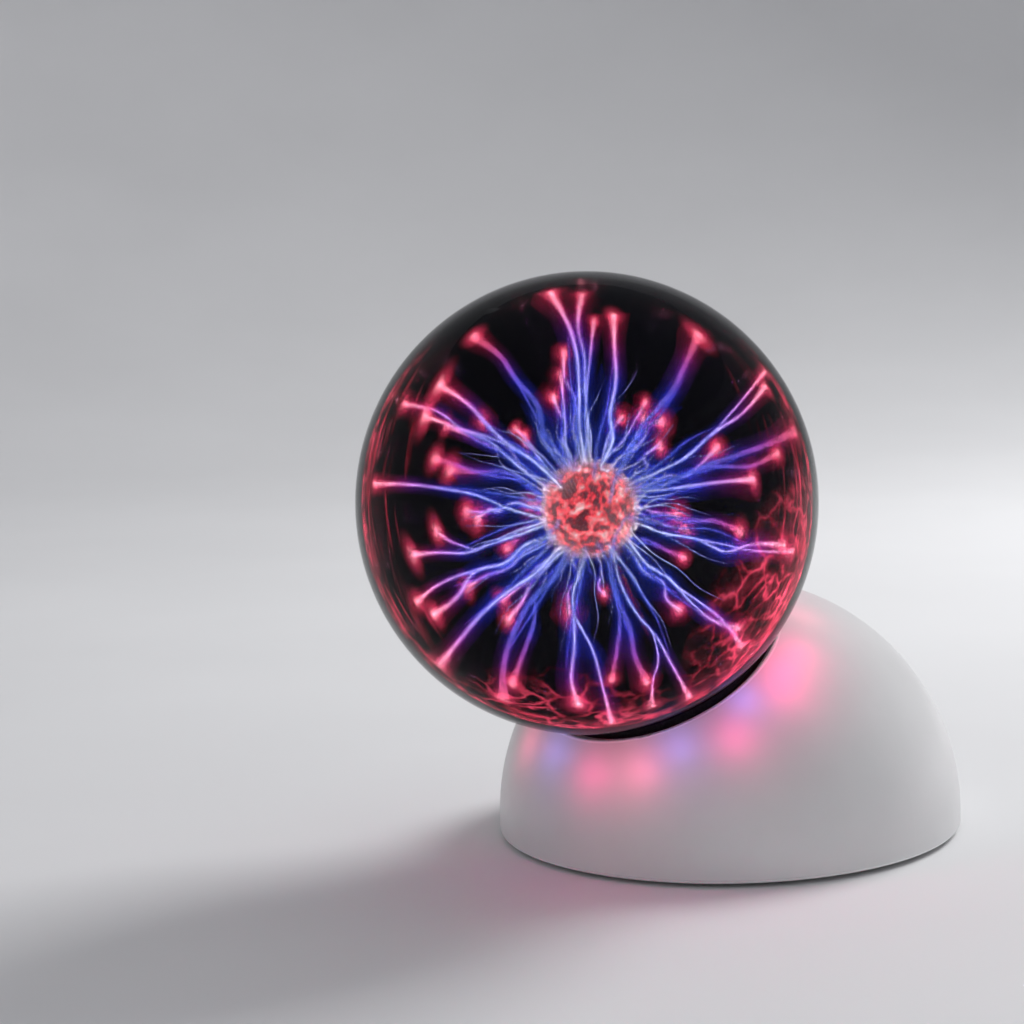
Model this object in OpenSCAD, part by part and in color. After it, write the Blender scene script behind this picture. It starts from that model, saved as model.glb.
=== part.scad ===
// Plasma ball: a five inch glass globe with a lit centre electrode, seated at a slant in a dome-shaped base
// that stands on a table or hangs on a wall by two keyholes. Millimetres, +Z up. The origin is on the table,
// under the centre of the dome. The globe leans towards -Y, and the switch and power inlet face +Y.

/* [Globe] */
// Outer diameter of the glass globe
globe_d = 127; // [122:1:129]
// Wall thickness of the globe's glass
globe_wall = 1.6; // [1.4:0.1:2]
// Outer diameter of the glass bulb at the centre of the globe
electrode_d = 27; // [24:1:29]
// How far the bulb's centre sits below the globe's centre, towards the neck
electrode_drop = 2; // [1:0.5:3]
// Outer radius of the globe's neck
neck_r = 15; // [14:0.2:15]

/* [Base] */
// Outer radius of the dome
dome_r = 68; // [68:0.5:70]
// Height of the straight skirt below the dome's curve
skirt_h = 4; // [3:0.5:5]
// Wall thickness of the dome and of its fittings
shell_wall = 2.4; // [2:0.1:2.5]
// Lean of the globe's axis from vertical, in degrees
globe_lean = 30; // [29:1:31]
// Distance from the dome's centre to the globe's centre
globe_reach = 112; // [111.5:0.5:113]
// Gap between the glass and the seat that it nests in
seat_gap = 2; // [1.8:0.1:2.2]
// How far the rubber feet stand out below the base
foot_out = 1.2; // [1:0.1:1.5]

/* [Controls] */
// Height of the switch and of the power inlet above the circuit board
control_rise = 6; // [6:0.1:6.3]
// Travel of the mode switch from one end to the other
switch_travel = 4; // [3:0.5:4]
// Outer diameter of the centre pin in the power inlet
inlet_pin_d = 2; // [1.9:0.05:2.1]
// Bore of the power inlet
inlet_bore_d = 5.7; // [5.6:0.1:6]

/* [Wall hanging] */
// Distance between the two keyholes
keyhole_spacing = 50; // [46:1:52]
// Radius of the round end of a keyhole, which a screw head goes through
keyhole_head_r = 4.2; // [4:0.1:4.4]
// Width of the narrow end of a keyhole, which a screw shank slides along
keyhole_slot_w = 4.4; // [4.2:0.1:4.6]
// Distance from the centre of the round end to the end of the shank's slide
keyhole_slide = 7.5; // [6:0.5:8]

/* [Hidden] */
$fn = 96;

eps = 0.05;          // running gap between curved faces that sit against each other
over = 1;            // how far a cut runs past the face that it opens

// The dome's centre and the globe's centre, in the frame of the table
globe_r = globe_d / 2;
electrode_r = electrode_d / 2;
dome_z = foot_out + skirt_h;
globe_y = -globe_reach * sin(globe_lean);
globe_z = dome_z + globe_reach * cos(globe_lean);
dome_in = dome_r - shell_wall;
seat_r = globe_r + seat_gap;

// Along the globe's axis, measured from the globe's centre: negative is towards the base
bulb_at = -electrode_drop;
dome_at = -globe_reach;
neck_end = -(globe_r + 18.5);
flange_top = -(globe_r + 3.5);
flange_t = 2.2;
flange_under = flange_top - flange_t;
collar_flange_t = 2.2;
collar_end = neck_end - 2;
rod_end = neck_end - 10;
boot_end = rod_end - 5;

// Self-tapping screws
screw_r = 1.3;
screw_head_r = 2.5;
screw_head_h = 1.7;
screw_hole_r = screw_r + eps;
screw_clear_r = 1.6;
boss_r = 3.2;

// Rings of screws about the globe's axis, and about the dome's
cup_screw_ring = 40.5;
collar_screw_ring = 30;
base_screw_ring = 60.5;
base_boss_r = 3.6;
base_boss_top = 24;
well_r = screw_head_r + 0.4;
well_wall = 1.2;
well_top = 6.2;
well_seat = 4.4;
foot_ring = 57;
foot_r = 6;
foot_recess = 0.8;

// Base plate and circuit board
plate_t = 2.4;
plate_r = dome_in - 0.3;
plate_top = foot_out + plate_t;
board_t = 1.6;
board_under = plate_top + 5;
board_top = board_under + board_t;
board_x = 34;
board_y = [-20, 46];
tongue_x = 25;
tongue_y = 56.5;
post_xy = [[-29, -15], [29, -15], [-29, 40], [29, 40]];
post_r = 2.9;

// Controls at the back of the dome
control_z = board_top + control_rise;
well_floor_out = 62;
well_floor_in = 60;
jack_x = -13;
jack_well_r = 7;
plug_hole_r = 4.4;
switch_x = 11;
switch_well = [22, 11];
slot_w = switch_travel + 6.6;
slot_h = 3.4;
knob_x = switch_x - switch_travel / 2;
mic_up = 26;

// Keyholes
keyhole_y = -34;
guard_wall = 1.4;
guard_inside = 5.2;
guard_h = 5;

// Everything about the globe's axis is drawn from the globe's centre, with +Z pointing out of the base
module on_globe_axis() {
    translate([0, globe_y, globe_z])
        rotate([globe_lean, 0, 0])
            children();
}

// Copies about the axis, at a radius
module ring_of(count, radius, first = 0) {
    for (i = [0 : count - 1])
        rotate([0, 0, first + i * 360 / count])
            translate([radius, 0, 0])
                children();
}

module tube(r_out, r_in, z0, z1) {
    translate([0, 0, z0])
        difference() {
            cylinder(r = r_out, h = z1 - z0);
            translate([0, 0, -over])
                cylinder(r = r_in, h = z1 - z0 + 2 * over);
        }
}

module rod(r, z0, z1) {
    translate([0, 0, z0])
        cylinder(r = r, h = z1 - z0);
}

module box(from, to) {
    translate(from)
        cube(to - from);
}

// A pan-head screw: its seat is at z = 0, the shank points up and the head hangs below
module pan_screw(shank) {
    difference() {
        union() {
            rod(screw_r, 0, shank - 1);
            translate([0, 0, shank - 1])
                cylinder(r1 = screw_r, r2 = 0.4, h = 1);
            rod(screw_head_r, -screw_head_h * 0.6, 0);
            translate([0, 0, -screw_head_h])
                cylinder(r1 = screw_head_r - 0.8, r2 = screw_head_r, h = screw_head_h * 0.4);
        }
        for (turn = [0, 90])
            rotate([0, 0, turn])
                box([-1.5, -0.3, -screw_head_h - over], [1.5, 0.3, -screw_head_h + 1]);
    }
}

// ---- Glass and discharge parts ----

module globe_glass() {
    color([0.3, 0.15, 0.45], 0.35)
        on_globe_axis()
            rotate_extrude()
                difference() {
                    intersection() {
                        union() {
                            circle(r = globe_r);
                            translate([0, neck_end])
                                square([neck_r, -neck_end - globe_r / 2]);
                        }
                        translate([0, neck_end])
                            square([globe_r, globe_r - neck_end]);
                    }
                    circle(r = globe_r - globe_wall);
                    translate([0, neck_end - over])
                        square([neck_r - globe_wall, -neck_end - globe_r / 2]);
                }
}

neck_in = neck_r - globe_wall - eps;
stem_r = 5;
stem_wall = 1.2;
flare_h = 9;
flare_t = 1.4;
tip_r = 2.2;
tip_out = 6;
tip_at = 9.5;

// The re-entrant stem: a bulb on a tube, with a flare that closes the globe's neck and a sealed exhaust tip
module electrode_stem() {
    color("lightpink", 0.7)
        on_globe_axis() {
            rotate_extrude()
                difference() {
                    intersection() {
                        union() {
                            translate([0, bulb_at])
                                circle(r = electrode_r);
                            translate([0, neck_end])
                                square([stem_r, bulb_at - neck_end]);
                            polygon([
                                [0, neck_end - flare_t], [neck_r, neck_end - flare_t],
                                [neck_r, neck_end - eps], [neck_in, neck_end - eps],
                                [stem_r, neck_end + flare_h], [0, neck_end + flare_h]
                            ]);
                        }
                        translate([0, neck_end - flare_t])
                            square([electrode_r, -neck_end + electrode_r]);
                    }
                    translate([0, bulb_at])
                        circle(r = electrode_r - stem_wall);
                    translate([0, neck_end - flare_t - over])
                        square([stem_r - stem_wall, bulb_at - neck_end]);
                    polygon([
                        [0, neck_end - flare_t - over], [neck_r - 3.2, neck_end - flare_t - over],
                        [neck_r - 3.2, neck_end - flare_t], [stem_r - stem_wall, neck_end + flare_h - 2.4],
                        [0, neck_end + flare_h - 2.4]
                    ]);
                }
            translate([0, tip_at, neck_end - flare_t - tip_out]) {
                rod(tip_r, 0, tip_out + 3.4);
                sphere(r = tip_r);
            }
        }
}

// Conductive steel wool that fills the bulb
module electrode_fill() {
    color("firebrick")
        on_globe_axis()
            translate([0, 0, bulb_at])
                difference() {
                    sphere(r = electrode_r - stem_wall - eps);
                    rod(contact_r + eps, -electrode_r, -electrode_r / 3 + eps);
                }
}

contact_r = 1;

module contact_rod() {
    color("goldenrod")
        on_globe_axis()
            rod(contact_r, rod_end, bulb_at - electrode_r / 3);
}

boot_r = 3.2;

// Silicone boot over the joint between the rod and the high-voltage lead
module rod_boot() {
    color("firebrick")
        on_globe_axis()
            difference() {
                union() {
                    rod(boot_r, boot_end, neck_end - flare_t - 0.3);
                    translate([0, 0, boot_end - 3])
                        cylinder(r1 = lead_r + 0.5, r2 = boot_r, h = 3);
                }
                rod(contact_r + eps, rod_end - eps, neck_end);
                rod(lead_r + eps, boot_end - 3 - over, boot_end + 3 + eps);
            }
}

module neck_cement() {
    color("beige")
        on_globe_axis()
            tube(neck_r + 0.5 - eps, neck_r + eps, neck_end, flange_under - collar_flange_t);
}

collar_wall = 3;
collar_flange_r = 34;

module globe_collar() {
    color("dimgray")
        on_globe_axis()
            difference() {
                union() {
                    tube(neck_r + 0.5 + collar_wall, neck_r + 0.5, collar_end, flange_under - eps);
                    tube(collar_flange_r, neck_r + 0.5, flange_under - collar_flange_t, flange_under - eps);
                    ring_of(3, neck_r + collar_wall + 5, 90)
                        box([-5, -0.8, flange_under - 9], [5, 0.8, flange_under - collar_flange_t + eps]);
                }
                ring_of(3, collar_screw_ring, 30)
                    rod(screw_clear_r, flange_under - collar_flange_t - over, flange_under + over);
            }
}

module collar_screws() {
    color("silver")
        on_globe_axis()
            ring_of(3, collar_screw_ring, 30)
                translate([0, 0, flange_under - collar_flange_t - eps])
                    pan_screw(8);
}

gasket_r = [24, 31];

// Foam ring between the glass and the cup
module globe_gasket() {
    color("darkslategray")
        on_globe_axis()
            intersection() {
                difference() {
                    sphere(r = seat_r - eps);
                    sphere(r = globe_r + eps);
                }
                tube(gasket_r[1], gasket_r[0], -globe_r - 5, -globe_r / 2);
            }
}

// ---- Socket cup, under the opening of the dome ----

cup_t = 2.2;
cup_hole_r = 20.5;
cup_skirt_r = 24.2;
cup_flange_r = 45.5;
// Radius of the ring where the scoop leaves the dome's inner face
cup_rim_at = (globe_reach * globe_reach + seat_r * seat_r - dome_in * dome_in) / (2 * globe_reach);
cup_rim_r = sqrt(seat_r * seat_r - cup_rim_at * cup_rim_at);

module socket_cup() {
    color([0.06, 0.06, 0.065])
        on_globe_axis()
            difference() {
                union() {
                    intersection() {
                        difference() {
                            sphere(r = seat_r + cup_t);
                            sphere(r = seat_r);
                        }
                        tube(cup_rim_r - 0.2, cup_skirt_r - cup_t, -globe_r - 8, -globe_r / 2);
                    }
                    tube(cup_skirt_r, cup_skirt_r - cup_t, flange_top - eps, -sqrt(seat_r * seat_r - 22 * 22) - 0.6);
                    tube(cup_flange_r, cup_hole_r, flange_under, flange_top);
                    ring_of(3, collar_screw_ring, 30)
                        rod(boss_r, flange_top - eps, -globe_r + 2);
                }
                ring_of(3, collar_screw_ring, 30)
                    rod(screw_hole_r, flange_under - over, -globe_r + 1);
                ring_of(3, cup_screw_ring, 90)
                    rod(screw_clear_r, flange_under - over, flange_top + over);
            }
}

module cup_screws() {
    color("silver")
        on_globe_axis()
            ring_of(3, cup_screw_ring, 90)
                translate([0, 0, flange_under - eps])
                    pan_screw(8.5);
}

// ---- Base shell ----

rim_round = 1.2;
lip_round = 1;
// The rounded lip: its centre, where it leaves the dome and where it meets the scoop
lip_in = dome_r - lip_round;
lip_out = seat_r + lip_round;
lip_at = (globe_reach * globe_reach + lip_out * lip_out - lip_in * lip_in) / (2 * globe_reach);
lip_r = sqrt(lip_out * lip_out - lip_at * lip_at);

// Outline of the dome with a skirt, for turning about the dome's axis
module dome_outline(r, bottom) {
    intersection() {
        union() {
            translate([0, dome_z])
                circle(r = r);
            translate([0, bottom])
                square([r, dome_z - bottom]);
        }
        translate([0, bottom])
            square([r, dome_z + r]);
    }
}

module dome_wall() {
    rotate_extrude()
        difference() {
            dome_outline(dome_r, foot_out);
            dome_outline(dome_in, foot_out - over);
            difference() {
                translate([dome_r - rim_round, foot_out - over])
                    square([rim_round + over, rim_round + over]);
                translate([dome_r - rim_round, foot_out + rim_round])
                    circle(r = rim_round);
            }
        }
}

// What the scoop takes out of the dome, with a lip of lip_round left round the opening
module scoop() {
    on_globe_axis() {
        sphere(r = seat_r);
        rotate_extrude()
            difference() {
                polygon([
                    [lip_r, -lip_at],
                    [lip_r, -lip_at] + 5 * ([lip_r, -lip_at] - [0, dome_at]) / lip_in,
                    [lip_r - 5, -lip_at + 8],
                    [lip_r, -lip_at] - 4 * [lip_r, -lip_at] / lip_out
                ]);
                translate([lip_r, -lip_at])
                    circle(r = lip_round);
            }
    }
}

// A flat-ended slot shape standing along Y, for the wells at the back
module slot_prism(size, x, z, y0, y1) {
    r = size[1] / 2;
    run = size[0] / 2 - r;
    translate([x, y1, z])
        rotate([90, 0, 0])
            linear_extrude(y1 - y0)
                union() {
                    for (side = [-run, run])
                        translate([side, 0])
                            circle(r = r);
                    translate([-run, -r])
                        square([2 * run, 2 * r]);
                }
}

module rear_rod(r, x, z, y0, y1) {
    translate([x, y1, z])
        rotate([90, 0, 0])
            cylinder(r = r, h = y1 - y0);
}

// A boss for one screw of the base plate, with a rib that runs out to the wall
module base_boss() {
    rod(base_boss_r, well_top + eps, base_boss_top);
    box([0, -1.2, well_top + eps], [dome_r - base_screw_ring, 1.2, base_boss_top]);
}

module mic_axis() {
    translate([0, 0, dome_z])
        rotate([mic_up - 90, 0, 0])
            children();
}

mic_boot_r = 4.5;
mic_ring_r = 6;
mic_holes_r = 0.7;

module base_shell() {
    color("whitesmoke")
        difference() {
            union() {
                dome_wall();
                intersection() {
                    translate([0, 0, dome_z])
                        sphere(r = dome_in + 0.6);
                    union() {
                        ring_of(4, base_screw_ring, 45)
                            base_boss();
                        on_globe_axis()
                            ring_of(3, cup_screw_ring, 90)
                                rod(boss_r, flange_top + eps, -globe_r + 8);
                        rear_rod(jack_well_r + 2, jack_x, control_z, well_floor_in, dome_r);
                        slot_prism(switch_well + [4, 4], switch_x, control_z, well_floor_in, dome_r);
                        mic_axis()
                            tube(mic_ring_r, mic_boot_r + eps, dome_in - 3, dome_in + 2);
                    }
                }
            }
            scoop();
            ring_of(4, base_screw_ring, 45)
                rod(screw_hole_r, well_top - over, well_seat + 12);
            on_globe_axis()
                ring_of(3, cup_screw_ring, 90)
                    rod(screw_hole_r, flange_top - over, flange_top + 7);
            rear_rod(jack_well_r, jack_x, control_z, well_floor_out, dome_r + over);
            rear_rod(plug_hole_r, jack_x, control_z, well_floor_in - over, well_floor_out + over);
            slot_prism(switch_well, switch_x, control_z, well_floor_out, dome_r + over);
            slot_prism([slot_w, slot_h], switch_x, control_z, well_floor_in - over, well_floor_out + over);
            mic_axis()
                ring_of(3, 1.6, 90)
                    rod(mic_holes_r, dome_in - over, dome_r + over);
        }
}

// ---- Base plate and what stands on it ----

module keyhole_outline(grow) {
    circle(r = keyhole_head_r + grow);
    translate([0, -keyhole_slide])
        circle(r = keyhole_slot_w / 2 + grow);
    translate([-keyhole_slot_w / 2 - grow, -keyhole_slide])
        square([keyhole_slot_w + 2 * grow, keyhole_slide]);
}

module guard_outline(r) {
    for (y = [0, -keyhole_slide])
        translate([0, y])
            circle(r = r);
    translate([-r, -keyhole_slide])
        square([2 * r, keyhole_slide]);
}

vent_len = 18;
vent_w = 2;
vent_pitch = 5;

module base_plate() {
    color("whitesmoke")
        difference() {
            union() {
                rod(plate_r, foot_out, plate_top);
                ring_of(4, base_screw_ring, 45)
                    rod(well_r + well_wall, foot_out + plate_t / 2, well_top);
                for (xy = post_xy)
                    translate(xy)
                        rod(post_r, foot_out + plate_t / 2, board_under);
                for (x = [-1, 1] * keyhole_spacing / 2)
                    translate([x, keyhole_y, foot_out + plate_t / 2])
                        linear_extrude(plate_t / 2 + guard_h + guard_wall)
                            guard_outline(guard_inside + guard_wall);
            }
            for (x = [-1, 1] * keyhole_spacing / 2)
                translate([x, keyhole_y, 0]) {
                    linear_extrude(plate_top + over)
                        keyhole_outline(0);
                    translate([0, 0, plate_top])
                        linear_extrude(guard_h)
                            guard_outline(guard_inside);
                }
            for (xy = post_xy)
                translate(xy)
                    rod(screw_hole_r, plate_top, board_under + over);
            ring_of(4, base_screw_ring, 45) {
                rod(screw_clear_r, 0, well_top + over);
                rod(well_r, 0, well_seat);
            }
            ring_of(4, foot_ring)
                rod(foot_r + 0.2, 0, foot_out + foot_recess);
            for (i = [-3 : 3])
                translate([i * vent_pitch, 12, 0])
                    box([-vent_w / 2, -vent_len / 2, 0], [vent_w / 2, vent_len / 2, plate_top + over]);
        }
}

module base_screws() {
    color("silver")
        ring_of(4, base_screw_ring, 45)
            translate([0, 0, well_seat - eps])
                pan_screw(10);
}

module rubber_feet() {
    color([0.1, 0.1, 0.1])
        ring_of(4, foot_ring) {
            rod(foot_r, 0.5, foot_out + foot_recess);
            cylinder(r1 = foot_r - 0.5, r2 = foot_r, h = 0.5);
        }
}

// ---- Electronics ----

module main_board() {
    color("darkgreen")
        translate([0, 0, board_under])
            linear_extrude(board_t)
                difference() {
                    union() {
                        translate([-board_x, board_y[0]])
                            square([2 * board_x, board_y[1] - board_y[0]]);
                        translate([-tongue_x, board_y[1] - over])
                            square([2 * tongue_x, tongue_y - board_y[1] + over]);
                    }
                    for (xy = post_xy)
                        translate(xy)
                            circle(r = screw_clear_r);
                }
}

module board_screws() {
    color("silver")
        for (xy = post_xy)
            translate([xy[0], xy[1], board_top + eps])
                mirror([0, 0, 1])
                    pan_screw(6);
}

// The transformer: a round-legged ferrite core standing on the board, with its windings round the middle leg
core_at = [13, 17];
core_leg_r = 3;
core_w = 26;
core_d = 8;
core_h = 20;
core_yoke = 4;
core_side = 3;
core_z = board_top + 1;
coil_z0 = core_z + core_yoke + 0.2;
coil_z1 = core_z + core_h - core_yoke - 0.2;
bobbin_wall = 0.9;
bobbin_r = 9.6;
coil_r = 9.2;
coil_split = coil_z0 + 4.4;

module at_core() {
    translate([core_at[0], core_at[1], 0])
        children();
}

module ferrite_core() {
    color([0.18, 0.18, 0.2])
        at_core()
            union() {
                difference() {
                    box([-core_w / 2, -core_d / 2, core_z], [core_w / 2, core_d / 2, core_z + core_h]);
                    box([-core_w / 2 + core_side, -core_d, core_z + core_yoke],
                        [core_w / 2 - core_side, core_d, core_z + core_h - core_yoke]);
                }
                rod(core_leg_r, core_z + core_yoke - over, core_z + core_h - core_yoke + over);
            }
}

module transformer_bobbin() {
    color("ivory")
        at_core() {
            tube(core_leg_r + eps + bobbin_wall, core_leg_r + eps, coil_z0, coil_z1);
            for (z = [coil_z0, coil_split, coil_z1 - bobbin_wall])
                tube(bobbin_r, core_leg_r + eps + bobbin_wall / 2, z, z + bobbin_wall);
        }
}

module primary_winding() {
    color("peru")
        at_core()
            tube(coil_r - 1, core_leg_r + 2 * eps + bobbin_wall, coil_z0 + bobbin_wall + eps, coil_split - eps);
}

module hv_winding() {
    color("gold")
        at_core()
            tube(coil_r, core_leg_r + 2 * eps + bobbin_wall, coil_split + bobbin_wall + eps,
                coil_z1 - bobbin_wall - eps);
}

// High-voltage lead, from the winding to the boot below the globe's neck
lead_r = 1.3;
boot_mouth_y = globe_y - (boot_end + 3) * sin(globe_lean);
boot_mouth_z = globe_z + (boot_end + 3) * cos(globe_lean);
lead_slope = [0, sin(globe_lean), -cos(globe_lean)];
lead_start = [0, boot_mouth_y, boot_mouth_z];
lead_route = [
    lead_start, lead_start + 3 * lead_slope, lead_start + 6.5 * lead_slope, lead_start + 8.5 * lead_slope,
    [2, -1.5, 12.4], [5, 1, 15], [6.6, 3.2, 20], [7.4, 5, 23], [9, 8.4, 23.4],
];

function unit(v) = v / norm(v);
function along(p, i) = unit(p[min(i + 1, len(p) - 1)] - p[max(i - 1, 0)]);
function square_off(v, t) = unit(v - (v * t) * t);
// A normal at every point of a route, carried along it so that the tube doesn't twist
function normals(p, i, n) = i == len(p) ? []
    : let (m = square_off(n, along(p, i))) concat([m], normals(p, i + 1, m));
// Points on a smooth curve through a route, with steps pieces to each stretch
function curve_at(p, i, t) =
    let (a = p[max(i - 1, 0)], b = p[i], c = p[i + 1], d = p[min(i + 2, len(p) - 1)])
    0.5 * (2 * b + (c - a) * t + (2 * a - 5 * b + 4 * c - d) * t * t + (3 * b - a - 3 * c + d) * t * t * t);
function smooth_route(p, steps) = concat(
    [for (i = [0 : len(p) - 2], k = [0 : steps - 1]) curve_at(p, i, k / steps)], [p[len(p) - 1]]);

// A round wire along a route
module wire(route, r, sides = 8, steps = 4) {
    path = smooth_route(route, steps);
    count = len(path);
    side = normals(path, 0, [1, 0.1, 0.2]);
    rings = [for (i = [0 : count - 1], k = [0 : sides - 1])
        let (t = along(path, i), u = side[i], v = cross(t, u), a = 360 * k / sides)
        path[i] + r * (cos(a) * u + sin(a) * v)];
    walls = [for (i = [0 : count - 2], k = [0 : sides - 1], half = [0, 1])
        let (a = i * sides + k, b = i * sides + (k + 1) % sides)
        half == 0 ? [b, a, a + sides] : [b, a + sides, b + sides]];
    caps = [[for (k = [0 : sides - 1]) k], [for (k = [sides - 1 : -1 : 0]) (count - 1) * sides + k]];
    polyhedron(points = rings, faces = concat(walls, caps));
}

module hv_lead() {
    color("red")
        wire(lead_route, lead_r);
}

sink_at = [-19, 16];
sink_w = 24;
sink_h = 22;
fin_t = 1.4;
fin_d = 9;

module heatsink() {
    color("lightgray")
        translate([sink_at[0], sink_at[1], board_top + 0.5])
            difference() {
                union() {
                    box([-sink_w / 2, 0, 0], [sink_w / 2, 2, sink_h]);
                    for (i = [0 : 5])
                        translate([-sink_w / 2 + i * (sink_w - fin_t) / 5, 1, 0])
                            box([0, 0, 0], [fin_t, fin_d, sink_h]);
                }
                translate([0, 3, 15])
                    rotate([90, 0, 0])
                        cylinder(r = screw_hole_r, h = 6);
            }
}

module power_transistor() {
    color([0.12, 0.12, 0.13])
        translate([sink_at[0], sink_at[1] - eps, board_top + 0.5]) {
            difference() {
                union() {
                    box([-5, -1.3, 3.5], [5, 0, 18.5]);
                    box([-5, -4.4, 3.5], [5, -1.2, 12]);
                }
                translate([0, 1, 15])
                    rotate([90, 0, 0])
                        cylinder(r = 1.8, h = 4);
            }
            for (x = [-2.54, 0, 2.54])
                box([x - 0.4, -3, -0.4], [x + 0.4, -2.4, 3.6]);
        }
}

module transistor_screw() {
    color("silver")
        translate([sink_at[0], sink_at[1] - 1.3 - 2 * eps, board_top + 15.5])
            rotate([-90, 0, 0])
                pan_screw(4);
}

// Electrolytic capacitors: place, radius and height of each
cans = [[-6, 36, 5, 13], [6, 39, 4, 10], [-19, 38, 3.2, 8]];

module filter_capacitors() {
    color("midnightblue")
        for (can = cans)
            translate([can[0], can[1], board_top + eps])
                difference() {
                    rod(can[2], 0, can[3]);
                    tube(can[2] + over, can[2] - 0.3, 1.6, 2.2);
                    for (turn = [0, 90])
                        rotate([0, 0, turn])
                            box([-can[2] / 2, -0.2, can[3] - 0.3], [can[2] / 2, 0.2, can[3] + over]);
                }
}

ic_at = [-12, -8];
ic_pitch = 2.54;

module control_ic() {
    color([0.1, 0.1, 0.1])
        translate([ic_at[0], ic_at[1], board_top]) {
            difference() {
                box([-5, -3.2, 0.8], [5, 3.2, 4]);
                translate([-5, 0, 3.6])
                    rod(0.9, 0, over);
            }
            for (i = [-1.5 : 1 : 1.5], side = [-1, 1])
                translate([i * ic_pitch, side * 3.6, 0]) {
                    box([-0.3, -0.45, eps], [0.3, 0.45, 2.2]);
                }
        }
}

// Axial resistors and diodes on the board, lying along X
resistor_at = [[20, -14], [20, -10], [20, -6], [20, -2], [-26, -10], [-26, -6], [-26, -2], [-1, 28], [22, 34]];

module resistors() {
    color("tan")
        for (at = resistor_at)
            translate([at[0], at[1], board_top + 1.5])
                rotate([0, 90, 0]) {
                    rod(1.15, -3.2, 3.2);
                    for (end = [-1, 1])
                        translate([0, 0, end * 2.6])
                            rod(1.35, -0.7, 0.7);
                    rod(0.3, -5, 5);
                    for (end = [-1, 1])
                        translate([0, 0, end * 4.7])
                            rotate([0, 90, 0])
                                rod(0.3, 0, 1.5 - eps);
                }
}

mic_r = 3;
mic_back = dome_in - 6;
mic_front = dome_in - 1.8;

module microphone() {
    color("gainsboro")
        mic_axis()
            rod(mic_r, mic_back + 0.6, mic_front);
}

module mic_boot() {
    color([0.1, 0.1, 0.1])
        mic_axis()
            difference() {
                intersection() {
                    rod(mic_boot_r, mic_back, dome_r);
                    sphere(r = dome_in - eps);
                }
                rod(mic_r + eps, mic_back - over, mic_front + eps);
                rod(2.2, mic_front, dome_r);
            }
}

mic_lead_r = 0.8;
mic_back_y = (mic_back + 0.2) * cos(mic_up);
mic_back_z = dome_z + (mic_back + 0.2) * sin(mic_up);
mic_lead_route = [
    [0, mic_back_y, mic_back_z], [0, mic_back_y - 4, mic_back_z - 2], [0, 46, 22], [0, 45, 15], [0, 45, board_top + eps],
];

module mic_lead() {
    color("gold")
        wire(mic_lead_route, mic_lead_r, 8, 3);
}

// ---- Power inlet and mode switch, at the back of the dome ----

jack_front = well_floor_in - 0.3;
jack_len = 14;
jack_w = 9;
jack_depth = 9.5;
pin_root_r = 1.5;
pin_root = 3;

module dc_jack() {
    color([0.08, 0.08, 0.08])
        difference() {
            union() {
                box([jack_x - jack_w / 2, jack_front - 3.4, board_top + eps],
                    [jack_x + jack_w / 2, jack_front, control_z + 5]);
                box([jack_x - jack_w / 2 + 0.6, jack_front - jack_len, board_top + eps],
                    [jack_x + jack_w / 2 - 0.6, jack_front - 3, control_z]);
                rear_rod(jack_w / 2 - 0.6, jack_x, control_z, jack_front - jack_len, jack_front - 3);
            }
            rear_rod(inlet_bore_d / 2, jack_x, control_z, jack_front - jack_depth, jack_front + over);
            rear_rod(pin_root_r + eps, jack_x, control_z, jack_front - jack_depth - pin_root, jack_front);
        }
}

// The centre pin that a plug's barrel slides over, with a thicker root held by the jack's body
module dc_jack_pin() {
    pin_base = jack_front - jack_depth;
    color("silver")
        union() {
            rear_rod(inlet_pin_d / 2, jack_x, control_z, pin_base - over, jack_front - 0.5);
            rear_rod(pin_root_r, jack_x, control_z, pin_base - pin_root + eps, pin_base);
        }
}

frame_front = well_floor_in - 2.6;
frame_back = frame_front - 6.4;
frame_w = 14;
frame_top = control_z + 3;
frame_skin = 0.7;
block = [5, 3.8, 3.6];
lever = [2.4, 2.2];
flange = [16, 1.2, 5.4];

// The metal frame of the slide switch, standing on the board
module mode_switch_body() {
    color("silver")
        difference() {
            box([switch_x - frame_w / 2, frame_back, board_top + eps],
                [switch_x + frame_w / 2, frame_front, frame_top]);
            box([switch_x - frame_w / 2 + frame_skin, frame_front - frame_skin - block[1] - 0.3, control_z - 2.1],
                [switch_x + frame_w / 2 - frame_skin, frame_front - frame_skin, control_z + 2.1]);
            box([switch_x - switch_travel / 2 - lever[0] / 2 - 0.3, frame_front - 2, control_z - 1.4],
                [switch_x + switch_travel / 2 + lever[0] / 2 + 0.3, frame_front + over, control_z + 1.4]);
        }
}

// The sliding block of the switch, with the lever that reaches into the knob
module mode_switch_slider() {
    color([0.1, 0.1, 0.1])
        translate([knob_x, frame_front - frame_skin - 0.15, control_z]) {
            box([-block[0] / 2, -block[1], -block[2] / 2], [block[0] / 2, 0, block[2] / 2]);
            box([-lever[0] / 2, -over, -lever[1] / 2], [lever[0] / 2, 5.2, lever[1] / 2]);
        }
}

knob_grip = [8, 5.4];
knob_out = 2.6;
knob_stem = [4.4, 2.8];
ridge_count = 5;

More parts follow.
